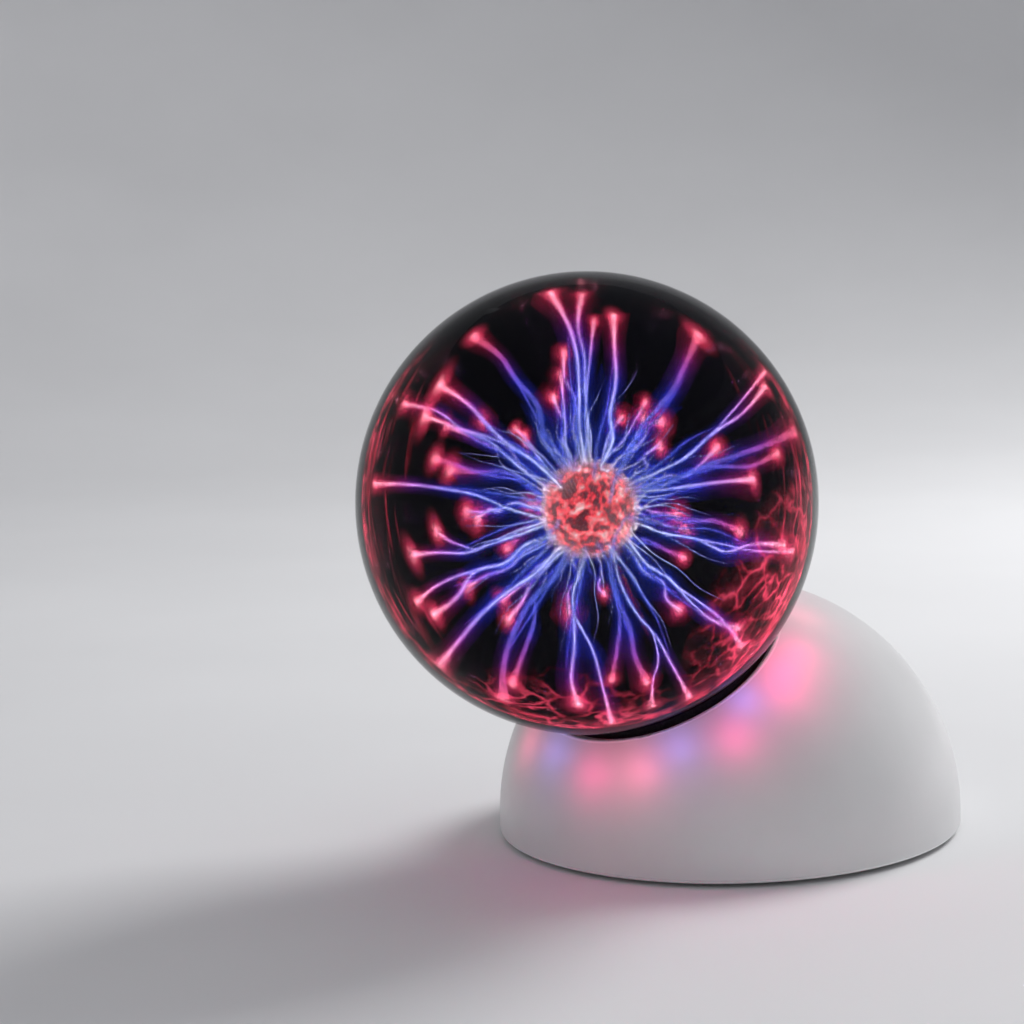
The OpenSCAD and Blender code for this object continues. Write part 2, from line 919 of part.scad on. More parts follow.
module mode_knob() {
    color([0.12, 0.12, 0.13])
        translate([knob_x, 0, control_z])
            difference() {
                union() {
                    box([-flange[0] / 2, well_floor_in - 0.3 - flange[1], -flange[2] / 2],
                        [flange[0] / 2, well_floor_in - 0.3, flange[2] / 2]);
                    box([-knob_stem[0] / 2, well_floor_in - over, -knob_stem[1] / 2],
                        [knob_stem[0] / 2, well_floor_out + over, knob_stem[1] / 2]);
                    box([-knob_grip[0] / 2, well_floor_out + 0.3, -knob_grip[1] / 2],
                        [knob_grip[0] / 2, well_floor_out + knob_out, knob_grip[1] / 2]);
                }
                for (i = [0 : ridge_count - 1])
                    translate([(i - (ridge_count - 1) / 2) * 1.5, well_floor_out + knob_out, 0])
                        cylinder(r = 0.45, h = knob_grip[1] + 2, center = true);
                box([-lever[0] / 2 - eps, 0, -lever[1] / 2 - eps],
                    [lever[0] / 2 + eps, well_floor_out, lever[1] / 2 + eps]);
            }
}

globe_glass();
electrode_stem();
electrode_fill();
contact_rod();
rod_boot();
neck_cement();
globe_collar();
collar_screws();
globe_gasket();
socket_cup();
cup_screws();
base_shell();
base_plate();
base_screws();
rubber_feet();
main_board();
board_screws();
ferrite_core();
transformer_bobbin();
primary_winding();
hv_winding();
hv_lead();
power_transistor();
heatsink();
transistor_screw();
filter_capacitors();
control_ic();
resistors();
microphone();
mic_boot();
mic_lead();
dc_jack();
dc_jack_pin();
mode_switch_body();
mode_switch_slider();
mode_knob();
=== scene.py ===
"""A plasma ball: a glass globe darkened with painted shade, with an electrode in painted light and its
discharge, in a white dome-shaped base.
"""
import math
import random

import bpy
from mathutils import Matrix, Vector


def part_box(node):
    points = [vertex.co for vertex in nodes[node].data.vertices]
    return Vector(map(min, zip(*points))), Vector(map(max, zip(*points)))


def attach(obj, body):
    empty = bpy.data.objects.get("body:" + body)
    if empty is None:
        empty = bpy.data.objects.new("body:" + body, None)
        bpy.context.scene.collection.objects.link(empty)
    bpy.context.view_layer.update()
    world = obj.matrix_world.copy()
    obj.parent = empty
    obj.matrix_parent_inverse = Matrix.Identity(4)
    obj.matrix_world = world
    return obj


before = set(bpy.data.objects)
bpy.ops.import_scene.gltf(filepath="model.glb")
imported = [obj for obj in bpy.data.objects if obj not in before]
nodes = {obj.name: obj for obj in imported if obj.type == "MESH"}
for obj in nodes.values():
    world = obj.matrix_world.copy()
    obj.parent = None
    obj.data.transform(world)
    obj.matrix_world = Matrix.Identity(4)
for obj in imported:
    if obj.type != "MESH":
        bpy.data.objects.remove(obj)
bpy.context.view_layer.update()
MM = 0.001

# ---------------------------------------------------------------- places taken from the frame

GLASS_WALL = 1.6 * MM
BULB_SKIN = 1.25 * MM               # from the fill's surface to the bulb's outer surface
GLASS_LO, GLASS_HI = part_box("globe_glass")
GLOBE_R = (GLASS_HI.x - GLASS_LO.x) / 2
GLOBE = Vector((0, GLASS_LO.y + GLOBE_R, GLASS_HI.z - GLOBE_R))
INSIDE_R = GLOBE_R - GLASS_WALL
FILL_LO, FILL_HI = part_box("electrode_fill")
BULB = (FILL_LO + FILL_HI) / 2
BULB_R = (FILL_HI.x - FILL_LO.x) / 2 + BULB_SKIN
NECK_AXIS = (BULB - GLOBE).normalized()
SHELL_LO, SHELL_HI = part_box("base_shell")
DOME_R = (SHELL_HI.x - SHELL_LO.x) / 2
DOME = Vector((0, 0, SHELL_HI.z - DOME_R))
LEAN = (GLOBE - DOME).normalized()
SEAT_EDGE = math.radians(32.3)      # how far the seat's lip stands from the line through dome and globe

# ---------------------------------------------------------------- camera

VIEW_TURN = math.radians(44.6)
VIEW_RISE = math.radians(6.9)
VIEW_ROLL = math.radians(-1.8)
VIEW_DISTANCE = 0.640
LENS = 81.8
SENSOR = 36.0
SHIFT_RIGHT = -0.0732               # lens shift that sets the globe right of the middle, a share of the frame
SHIFT_UP = -0.0088


def view_axes():
    """The unit vectors towards the camera, to its right and up, with the camera's roll."""
    toward = Vector((math.sin(VIEW_TURN) * math.cos(VIEW_RISE),
                     -math.cos(VIEW_TURN) * math.cos(VIEW_RISE), math.sin(VIEW_RISE)))
    up = (Vector((0, 0, 1)) - toward * toward.z).normalized()
    right = up.cross(toward)
    return (toward, math.cos(VIEW_ROLL) * right + math.sin(VIEW_ROLL) * up,
            -math.sin(VIEW_ROLL) * right + math.cos(VIEW_ROLL) * up)


TOWARD, RIGHT, UP = view_axes()


def make_camera():
    data = bpy.data.cameras.new("camera")
    data.lens = LENS
    data.sensor_width = SENSOR
    data.shift_x = SHIFT_RIGHT
    data.shift_y = SHIFT_UP
    camera = bpy.data.objects.new("camera", data)
    bpy.context.scene.collection.objects.link(camera)
    turn = Matrix((RIGHT, UP, TOWARD)).transposed().to_4x4()
    camera.matrix_world = Matrix.Translation(GLOBE + TOWARD * VIEW_DISTANCE) @ turn
    bpy.context.scene.camera = camera


make_camera()

# ---------------------------------------------------------------- shader helpers


def new_material(name, color=(0.8, 0.8, 0.8), rough=0.5, metal=0.0, **sockets):
    """A Principled material and its node tree. Constants go straight on the shader's sockets."""
    mat = bpy.data.materials.new(name)
    mat.use_nodes = True
    shader = mat.node_tree.nodes["Principled BSDF"]
    shader.inputs["Base Color"].default_value = (*color, 1)
    shader.inputs["Roughness"].default_value = rough
    shader.inputs["Metallic"].default_value = metal
    for key, value in sockets.items():
        shader.inputs[key.replace("_", " ")].default_value = value
    return mat, mat.node_tree, shader


def add(tree, kind, **values):
    """A node with its properties, and its inputs by name where they are not properties."""
    node = tree.nodes.new(kind)
    for key, value in values.items():
        if hasattr(node, key):
            setattr(node, key, value)
        else:
            node.inputs[key.replace("_", " ")].default_value = value
    return node


def scaled(tree, vector, factor):
    """A colour or a vector times a number, or times another node's value."""
    node = add(tree, "ShaderNodeVectorMath", operation="SCALE")
    tree.links.new(vector, node.inputs[0])
    if isinstance(factor, (int, float)):
        node.inputs["Scale"].default_value = factor
    else:
        tree.links.new(factor, node.inputs["Scale"])
    return node.outputs[0]


def coords(tree):
    """Object coordinates in millimetres, so that texture scales read in millimetres."""
    place = tree.nodes.new("ShaderNodeTexCoord")
    return scaled(tree, place.outputs["Object"], 1 / MM)


def in_mm(place):
    return tuple(c / MM for c in place)


def noise(tree, scale, detail=3.0, rough=0.5, stretch=None, source=None):
    """A noise texture, its scale in features per millimetre."""
    at = source or coords(tree)
    if stretch:
        grow = add(tree, "ShaderNodeVectorMath", operation="MULTIPLY")
        grow.inputs[1].default_value = stretch
        tree.links.new(at, grow.inputs[0])
        at = grow.outputs[0]
    node = add(tree, "ShaderNodeTexNoise", Scale=scale, Detail=detail, Roughness=rough)
    tree.links.new(at, node.inputs["Vector"])
    return node.outputs["Fac"]


def ramp(tree, fac, stops):
    """A colour ramp over (position, colour) stops."""
    node = tree.nodes.new("ShaderNodeValToRGB")
    points = node.color_ramp.elements
    while len(points) < len(stops):
        points.new(0.5)
    for point, (place, color) in zip(points, stops):
        point.position = place
        point.color = (*color, 1)
    tree.links.new(fac, node.inputs["Fac"])
    return node.outputs["Color"]


def spread(tree, value, low, high, to_low=0.0, to_high=1.0):
    """A value's range from low to high, carried over to the range from to_low to to_high."""
    node = add(tree, "ShaderNodeMapRange")
    for key, number in (("From Min", low), ("From Max", high), ("To Min", to_low), ("To Max", to_high)):
        node.inputs[key].default_value = number
    tree.links.new(value, node.inputs["Value"])
    return node.outputs["Result"]


def maths(tree, operation, a, b):
    node = add(tree, "ShaderNodeMath", operation=operation)
    for index, value in enumerate((a, b)):
        if isinstance(value, (int, float)):
            node.inputs[index].default_value = value
        else:
            tree.links.new(value, node.inputs[index])
    return node.outputs[0]


def bump(tree, shader, height, strength, depth_mm):
    """Bump of a real depth, chained after any bump that is there already."""
    node = add(tree, "ShaderNodeBump", Strength=strength, Distance=depth_mm * MM)
    tree.links.new(height, node.inputs["Height"])
    if shader.inputs["Normal"].is_linked:
        tree.links.new(shader.inputs["Normal"].links[0].from_socket, node.inputs["Normal"])
    tree.links.new(node.outputs["Normal"], shader.inputs["Normal"])


def tint(tree, shader, fac, low, high):
    """Base colour that wanders between two near colours."""
    tree.links.new(ramp(tree, fac, [(0.3, low), (0.7, high)]), shader.inputs["Base Color"])


def roughness(tree, shader, fac, low, high):
    tree.links.new(spread(tree, fac, 0.25, 0.75, low, high), shader.inputs["Roughness"])


def distance_from(tree, centre):
    """Distance from a point, in millimetres."""
    node = add(tree, "ShaderNodeVectorMath", operation="DISTANCE")
    node.inputs[1].default_value = in_mm(centre)
    tree.links.new(coords(tree), node.inputs[0])
    return node.outputs["Value"]


def direction_from(tree, centre):
    """The unit vector from a point to each place on the surface."""
    out = add(tree, "ShaderNodeVectorMath", operation="SUBTRACT")
    out.inputs[1].default_value = in_mm(centre)
    tree.links.new(coords(tree), out.inputs[0])
    way = add(tree, "ShaderNodeVectorMath", operation="NORMALIZE")
    tree.links.new(out.outputs[0], way.inputs[0])
    return way.outputs[0]


def facing_part(tree, way, axis, low, high, both=False):
    """From 0 to 1 as a direction's share along an axis goes from low to high. both counts the far end too."""
    share = add(tree, "ShaderNodeVectorMath", operation="DOT_PRODUCT")
    share.inputs[1].default_value = axis
    tree.links.new(way, share.inputs[0])
    value = share.outputs["Value"]
    if both:
        value = maths(tree, "ABSOLUTE", value, 0.0)
    if low > high:
        return spread(tree, value, high, low, 1.0, 0.0)
    return spread(tree, value, low, high)


def product(tree, first, *others):
    for other in others:
        first = maths(tree, "MULTIPLY", first, other)
    return first


def seen_direction(clock, reach, side):
    """A direction from the globe's centre, as the camera sees its disc. clock is in degrees clockwise from
    the top, reach is 0 in the middle and 1 at the edge, and side is 1 in the near half and -1 in the far."""
    a = math.radians(clock)
    flat = RIGHT * math.sin(a) + UP * math.cos(a)
    return (flat * reach + TOWARD * side * math.sqrt(max(0, 1 - reach * reach))).normalized()


# ---------------------------------------------------------------- materials

# The wall's dark tint is painted shade: clear glass darkened so that the globe reads dark inside.
GLASS_HOLD = 0.78                                # share that each face of the globe's wall holds back
THROUGH = 1 / (1 - GLASS_HOLD) ** 2              # light needed inside for one unit outside
MIX_A, MIX_B, MIX_RESULT = 6, 7, 2               # a Mix node's sockets for colours


def flow_color(tree, color):
    """Moulded plastic's colour, with faint flow variation."""
    low = [c * 0.96 for c in color]
    high = [min(1, c * 1.03) for c in color]
    return ramp(tree, noise(tree, 0.03, 4.0), [(0.3, low), (0.7, high)])


def moulded_skin(tree, shader, rough, grain_depth):
    """A fine spark-eroded grain, the mould's slow waves and slight gloss changes."""
    roughness(tree, shader, noise(tree, 0.25, 3.0), rough - 0.05, rough + 0.06)
    bump(tree, shader, noise(tree, 3.2, 2.0, 0.6), 0.5, grain_depth)
    bump(tree, shader, noise(tree, 0.06, 1.0), 0.4, 0.05)


def plastic(name, color, rough, grain_depth, specular=0.5, coat=0.0):
    """Moulded plastic, lacquered where it has a coat."""
    mat, tree, shader = new_material(name, color, rough, Coat_Weight=coat, Coat_Roughness=0.25)
    shader.inputs["Specular IOR Level"].default_value = specular
    tree.links.new(flow_color(tree, color), shader.inputs["Base Color"])
    moulded_skin(tree, shader, rough, grain_depth)
    return mat


def shell_plastic(name, color, rough=0.38, grain_depth=0.012):
    """The dome's plastic, paler on its lip round the globe and along its lower edge: a painted highlight."""
    lip_fades, lip_ends = SEAT_EDGE + 0.008, SEAT_EDGE + 0.014    # angles from the lean
    edge_fades, edge_ends = 1.9, 2.2                              # millimetres over the table
    mat, tree, shader = new_material(name, color, rough, Coat_Weight=0.15, Coat_Roughness=0.25)
    lip_highlight = facing_part(tree, direction_from(tree, DOME), LEAN, math.cos(lip_ends), math.cos(lip_fades))
    height = tree.nodes.new("ShaderNodeSeparateXYZ")
    tree.links.new(coords(tree), height.inputs[0])
    edge_highlight = spread(tree, height.outputs["Z"], edge_fades, edge_ends, 1.0, 0.0)
    # Painted highlight: the lip and the lower edge are mixed towards near-white.
    mix = add(tree, "ShaderNodeMix", data_type="RGBA")
    tree.links.new(maths(tree, "MAXIMUM", lip_highlight, edge_highlight), mix.inputs[0])
    tree.links.new(flow_color(tree, color), mix.inputs[MIX_A])
    mix.inputs[MIX_B].default_value = (0.97, 0.97, 0.97, 1)
    tree.links.new(mix.outputs[MIX_RESULT], shader.inputs["Base Color"])
    moulded_skin(tree, shader, rough, grain_depth)
    return mat


def rubber(name, color):
    mat, tree, shader = new_material(name, color, 0.75)
    tint(tree, shader, noise(tree, 0.4, 4.0), color, [c * 1.7 for c in color])
    roughness(tree, shader, noise(tree, 1.2), 0.65, 0.85)
    bump(tree, shader, noise(tree, 5.0, 3.0, 0.7), 0.6, 0.03)
    return mat


def metal(name, color, rough, stretch=(1, 1, 12)):
    """Plated or bare metal with fine drawn lines."""
    mat, tree, shader = new_material(name, color, rough, 1.0)
    lines = noise(tree, 1.5, 4.0, 0.6, stretch)
    tint(tree, shader, lines, [c * 0.85 for c in color], color)
    roughness(tree, shader, lines, rough - 0.08, rough + 0.1)
    bump(tree, shader, lines, 0.3, 0.01)
    return mat


def copper_turns(name, color, pitch):
    """Wound wire: ridges across the coil's upright axis."""
    mat, tree, shader = new_material(name, color, 0.3, 0.9)
    split = tree.nodes.new("ShaderNodeSeparateXYZ")
    tree.links.new(coords(tree), split.inputs[0])
    turns = maths(tree, "PINGPONG", split.outputs["Z"], pitch / 2)
    bump(tree, shader, turns, 1.0, 0.2)
    tint(tree, shader, noise(tree, 0.8, 3.0), [c * 0.7 for c in color], color)
    return mat


def foam(name, color):
    mat, tree, shader = new_material(name, color, 0.95)
    cells = add(tree, "ShaderNodeTexVoronoi", Scale=2.2)
    tree.links.new(coords(tree), cells.inputs["Vector"])
    bump(tree, shader, cells.outputs["Distance"], 0.8, 0.2)
    # Painted shade: darker in the pits of the cells and lighter on their ridges, following the bump.
    tint(tree, shader, cells.outputs["Distance"], [c * 0.5 for c in color], [c * 1.5 for c in color])
    return mat


def shade_darkened_glass(name):
    """The globe's wall, darkened with painted shade. Each face holds back most of the light, so that only the
    discharge shows.
    """
    mat, tree, shader = new_material(name, (0.003, 0.003, 0.005), 0.03, Alpha=GLASS_HOLD)
    shader.inputs["IOR"].default_value = 1.13
    roughness(tree, shader, noise(tree, 0.02, 2.0), 0.02, 0.05)
    return mat


def light_material(name, base, rough, strength, **sockets):
    """A material that shines, but that isn't sampled as a lamp."""
    mat, tree, shader = new_material(name, base, rough, Emission_Strength=strength, **sockets)
    mat.cycles.emission_sampling = "NONE"
    return mat, tree, shader


def glow(name, stops, strength, alpha, patchy=0.0, by_point=False):
    """Light from the discharge. Its colour goes by the distance from the electrode's centre. patchy dims it
    in places, and by_point scales it by the mesh's own glow at each point."""
    mat, tree, shader = light_material(name, (0, 0, 0), 1.0, strength, Alpha=alpha)
    shader.inputs["Specular IOR Level"].default_value = 0.0
    span = 64.0     # millimetres that the ramp covers
    far = maths(tree, "DIVIDE", distance_from(tree, BULB), span)
    color = ramp(tree, far, [(at / span, c) for at, c in stops])
    if patchy:
        color = scaled(tree, color, spread(tree, noise(tree, 0.10, 2.0), 0.38, 0.62, 1.0 - patchy, 1.0))
    if by_point:
        color = scaled(tree, color, add(tree, "ShaderNodeAttribute", attribute_name="glow").outputs["Fac"])
    tree.links.new(color, shader.inputs["Emission Color"])
    return mat


# Colours of the discharge: (millimetres from the electrode's centre, colour)
CORE_STOPS = [
    (13, (1.0, 0.88, 0.95)), (17, (0.74, 0.80, 1.0)), (28, (0.60, 0.66, 1.0)), (42, (0.56, 0.54, 1.0)),
    (52, (0.78, 0.42, 0.95)), (58, (1.0, 0.45, 0.65)), (62, (1.0, 0.40, 0.5)),
]
NEAR_STOPS = [
    (13, (0.60, 0.34, 0.60)), (17, (0.15, 0.20, 0.60)), (30, (0.11, 0.16, 0.78)), (44, (0.20, 0.15, 0.82)),
    (52, (0.55, 0.12, 0.62)), (58, (0.95, 0.16, 0.38)), (62, (1.0, 0.14, 0.26)),
]
WIDE_STOPS = [
    (13, (0.14, 0.05, 0.16)), (17, (0.018, 0.028, 0.26)), (30, (0.018, 0.035, 0.46)),
    (44, (0.025, 0.025, 0.46)), (52, (0.18, 0.02, 0.32)), (58, (0.50, 0.02, 0.12)), (62, (0.6, 0.02, 0.08)),
]
CORONA_STOPS = [(12, (1.0, 0.36, 0.42)), (14, (1.0, 0.72, 0.78))]
FOOT_STOPS = [(50, (0.95, 0.05, 0.24)), (58, (1.0, 0.07, 0.20)), (62, (1.0, 0.06, 0.15))]
HEART_STOPS = [(50, (1.0, 0.48, 0.65)), (58, (1.0, 0.50, 0.60)), (62, (1.0, 0.44, 0.52))]


def electrode_wool(name):
    """Steel wool lit from outside, its light painted on as a glow: red, with painted shade in dark pits and
    pale pink painted highlights.
    """
    mat, tree, shader = light_material(name, (0.3, 0.06, 0.04), 0.7, 1.1 * THROUGH)
    patches = noise(tree, 0.33, 3.0, 0.6)
    # Painted light and shade: near-black pits, red wool and pale pink highlights, all as glow.
    color = ramp(tree, patches, [
        (0.42, (0.01, 0.0, 0.005)), (0.475, (0.10, 0.002, 0.01)), (0.51, (0.78, 0.025, 0.05)),
        (0.56, (1.0, 0.10, 0.13)), (0.62, (1.0, 0.36, 0.38)), (0.69, (1.0, 0.80, 0.80)),
    ])
    tree.links.new(color, shader.inputs["Emission Color"])
    bump(tree, shader, patches, 1.0, 0.8)
    return mat


def electrode_glass(name):
    """The bulb's wall, veiled with pink light that fades where the stem begins."""
    mat, tree, shader = light_material(name, (0.01, 0.004, 0.005), 0.08, 0.40 * THROUGH, Alpha=0.12)
    veil = ramp(tree, noise(tree, 0.10, 2.0), [(0.40, (0.70, 0.14, 0.20)), (0.62, (1.0, 0.52, 0.62))])
    bulb_edge = BULB_R / MM
    fade = spread(tree, distance_from(tree, BULB), bulb_edge + 0.3, bulb_edge + 2.5, 1.0, 0.0)
    tree.links.new(scaled(tree, veil, fade), shader.inputs["Emission Color"])
    return mat


def film_streaks(tree, way):
    """Upright streaks, left and right: noise that changes fast round the globe and slowly up it."""
    split = tree.nodes.new("ShaderNodeSeparateXYZ")
    tree.links.new(way, split.inputs[0])
    around = maths(tree, "ARCTAN2", split.outputs["Y"], split.outputs["X"])
    strip = tree.nodes.new("ShaderNodeCombineXYZ")
    tree.links.new(maths(tree, "MULTIPLY", around, 16.0), strip.inputs["X"])
    tree.links.new(split.outputs["Z"], strip.inputs["Y"])
    streaks = spread(tree, noise(tree, 1.4, 2.0, source=strip.outputs[0]), 0.56, 0.70)
    off_middle = facing_part(tree, way, TOWARD, 0.55, 0.30, both=True)
    off_top = facing_part(tree, way, UP, 0.65, 0.45, both=True)
    return product(tree, streaks, off_middle, spread(tree, noise(tree, 0.06, 1.0), 0.42, 0.58), off_top)


def film_net(tree, cloud, low_right, bottom):
    """A torn net of light, strong low on the right and weaker at the bottom: cell edges bent by noise."""
    wobble = add(tree, "ShaderNodeTexNoise", Scale=0.12, Detail=3.0)
    tree.links.new(coords(tree), wobble.inputs["Vector"])
    bent = add(tree, "ShaderNodeVectorMath", operation="ADD")
    tree.links.new(coords(tree), bent.inputs[0])
    tree.links.new(scaled(tree, wobble.outputs["Color"], 9.0), bent.inputs[1])
    cells = add(tree, "ShaderNodeTexVoronoi", feature="DISTANCE_TO_EDGE", Scale=0.13)
    tree.links.new(bent.outputs[0], cells.inputs["Vector"])
    lines = maths(tree, "POWER", spread(tree, cells.outputs["Distance"], 0.0, 0.16, 1.0, 0.0), 2.0)
    where = maths(tree, "MAXIMUM", low_right, maths(tree, "MULTIPLY", bottom, 0.7))
    return product(tree, lines, spread(tree, cloud, 0.42, 0.58, 0.15, 1.0), where)


def film_rim(tree, way):
    """A broken band of light along the lower edge of the disc."""
    rim = facing_part(tree, way, TOWARD, 0.20, 0.05, both=True)
    off_top = facing_part(tree, way, UP, 0.75, 0.35)
    return product(tree, rim, off_top, spread(tree, noise(tree, 0.16, 3.0), 0.46, 0.64, 0.0, 0.75))


def film(name):
    """Faint red light on the inside of the glass: streaks, a net, a haze behind the net and a rim."""
    mat, tree, shader = light_material(name, (0, 0, 0), 1.0, 9.0 * THROUGH, Alpha=0.10)
    shader.inputs["Specular IOR Level"].default_value = 0.0
    way = direction_from(tree, GLOBE)
    cloud = noise(tree, 0.10, 5.0, 0.62)
    low_right = facing_part(tree, way, seen_direction(118, 0.95, 1), 0.82, 0.97)
    bottom = facing_part(tree, way, seen_direction(185, 0.96, 1), 0.86, 0.98)
    net = maths(tree, "MULTIPLY", film_net(tree, cloud, low_right, bottom), 1.3)
    haze = maths(tree, "MULTIPLY", low_right, spread(tree, cloud, 0.40, 0.70, 0.0, 0.35))
    light = maths(tree, "ADD", film_streaks(tree, way), net)
    light = maths(tree, "ADD", maths(tree, "ADD", light, haze), film_rim(tree, way))
    red = ramp(tree, cloud, [(0.35, (0.60, 0.01, 0.04)), (0.70, (1.0, 0.09, 0.18))])
    tree.links.new(scaled(tree, red, light), shader.inputs["Emission Color"])
    return mat


WHITE = shell_plastic("white_shell", (0.74, 0.735, 0.74))
UNDER = plastic("white_plate", (0.76, 0.755, 0.75), 0.5, 0.02)
BLACK = plastic("black_seat", (0.012, 0.012, 0.013), 0.55, 0.02, 0.3)
DARK = plastic("black_mould", (0.02, 0.02, 0.021), 0.45, 0.015)
KNOB = plastic("knob_mould", (0.025, 0.025, 0.027), 0.4, 0.02)
ZINC = metal("zinc_plate", (0.62, 0.62, 0.63), 0.32)
PLATED = metal("bright_plate", (0.75, 0.75, 0.74), 0.16)
ALUMINIUM = metal("bare_aluminium", (0.78, 0.78, 0.79), 0.35, (12, 1, 1))
BRASS = metal("drawn_brass", (0.72, 0.5, 0.22), 0.3)
FOOT = rubber("foot_rubber", (0.022, 0.022, 0.024))
RED_RUBBER = rubber("red_silicone", (0.32, 0.03, 0.02))
YELLOW = plastic("yellow_pvc", (0.7, 0.5, 0.05), 0.4, 0.01)
BOARD = plastic("green_board", (0.01, 0.12, 0.05), 0.35, 0.01, coat=0.4)
FERRITE = rubber("ferrite", (0.045, 0.045, 0.05))
IVORY = plastic("ivory_nylon", (0.75, 0.7, 0.58), 0.5, 0.01)
CEMENT = foam("basing_cement", (0.6, 0.56, 0.46))
FOAM = foam("black_foam", (0.02, 0.02, 0.02))
SLEEVE = plastic("can_sleeve", (0.02, 0.03, 0.12), 0.22, 0.003, coat=0.6)
TAN = plastic("tan_lacquer", (0.6, 0.42, 0.22), 0.3, 0.01, coat=0.5)
COPPER = copper_turns("enamelled_copper", (0.7, 0.28, 0.12), 0.5)
TAPE = plastic("winding_tape", (0.72, 0.5, 0.08), 0.2, 0.003, coat=0.5)

FINISHES = {
    "globe_glass": shade_darkened_glass("shade_darkened_glass"),
    "electrode_stem": electrode_glass("electrode_glass"),
    "electrode_fill": electrode_wool("electrode_wool"),
    "contact_rod": BRASS, "rod_boot": RED_RUBBER, "neck_cement": CEMENT, "globe_collar": DARK,
    "collar_screws": ZINC, "globe_gasket": FOAM, "socket_cup": BLACK, "cup_screws": ZINC,
    "base_shell": WHITE, "base_plate": UNDER, "base_screws": ZINC, "rubber_feet": FOOT,
    "main_board": BOARD, "board_screws": ZINC, "ferrite_core": FERRITE, "transformer_bobbin": IVORY,
    "primary_winding": COPPER, "hv_winding": TAPE, "hv_lead": RED_RUBBER, "power_transistor": DARK,
    "heatsink": ALUMINIUM, "transistor_screw": ZINC, "filter_capacitors": SLEEVE, "control_ic": DARK,
    "resistors": TAN, "microphone": ALUMINIUM, "mic_boot": FOOT, "mic_lead": YELLOW,
    "dc_jack": DARK, "dc_jack_pin": PLATED, "mode_switch_body": PLATED, "mode_switch_slider": DARK,
    "mode_knob": KNOB,
}
for node_name, finish in FINISHES.items():
    piece = nodes[node_name]
    piece.data.materials.clear()
    piece.data.materials.append(finish)

# ---------------------------------------------------------------- the discharge

draw = random.Random(7)
GOLDEN_ANGLE = math.pi * (3 - math.sqrt(5))
LIGHT_GAP = 0.15 * MM               # light keeps this far off the inside of the glass
END_R = INSIDE_R - 0.6 * MM         # filaments end at this radius
FLARE_LENGTH = 10 * MM              # they open out over this last stretch
STEM_CONE = 0.85                    # cosine of the cone round the stem that rays keep out of


def even_direction(index, count, turn=0.0):
    """One of count directions spread evenly over a sphere, the whole set turned about its upright axis."""
    height = 1 - 2 * (index + 0.5) / count
    around = index * GOLDEN_ANGLE + turn
    flat = math.sqrt(1 - height * height)
    return Vector((flat * math.cos(around), flat * math.sin(around), height))


def perpendicular(axis):
    side = axis.cross(Vector((0, 0, 1)))
    if side.length < 0.1:
        side = axis.cross(Vector((1, 0, 0)))
    return side.normalized()


def smooth_path(points, steps):
    """Points on a smooth curve through the given ones."""
    out = []
    for i in range(len(points) - 1):
        a, b = points[max(i - 1, 0)], points[i]
        c, d = points[i + 1], points[min(i + 2, len(points) - 1)]
        for k in range(steps):
            t = k / steps
            out.append(0.5 * (2 * b + (c - a) * t + (2 * a - 5 * b + 4 * c - d) * t * t
                              + (3 * b - a - 3 * c + d) * t ** 3))
    return out + [points[-1].copy()]


def kept_inside(point):
    """The point, drawn in to the inside of the glass if it lies beyond it."""
    out = point - GLOBE
    limit = INSIDE_R - LIGHT_GAP
    return point if out.length < limit else GLOBE + out.normalized() * limit


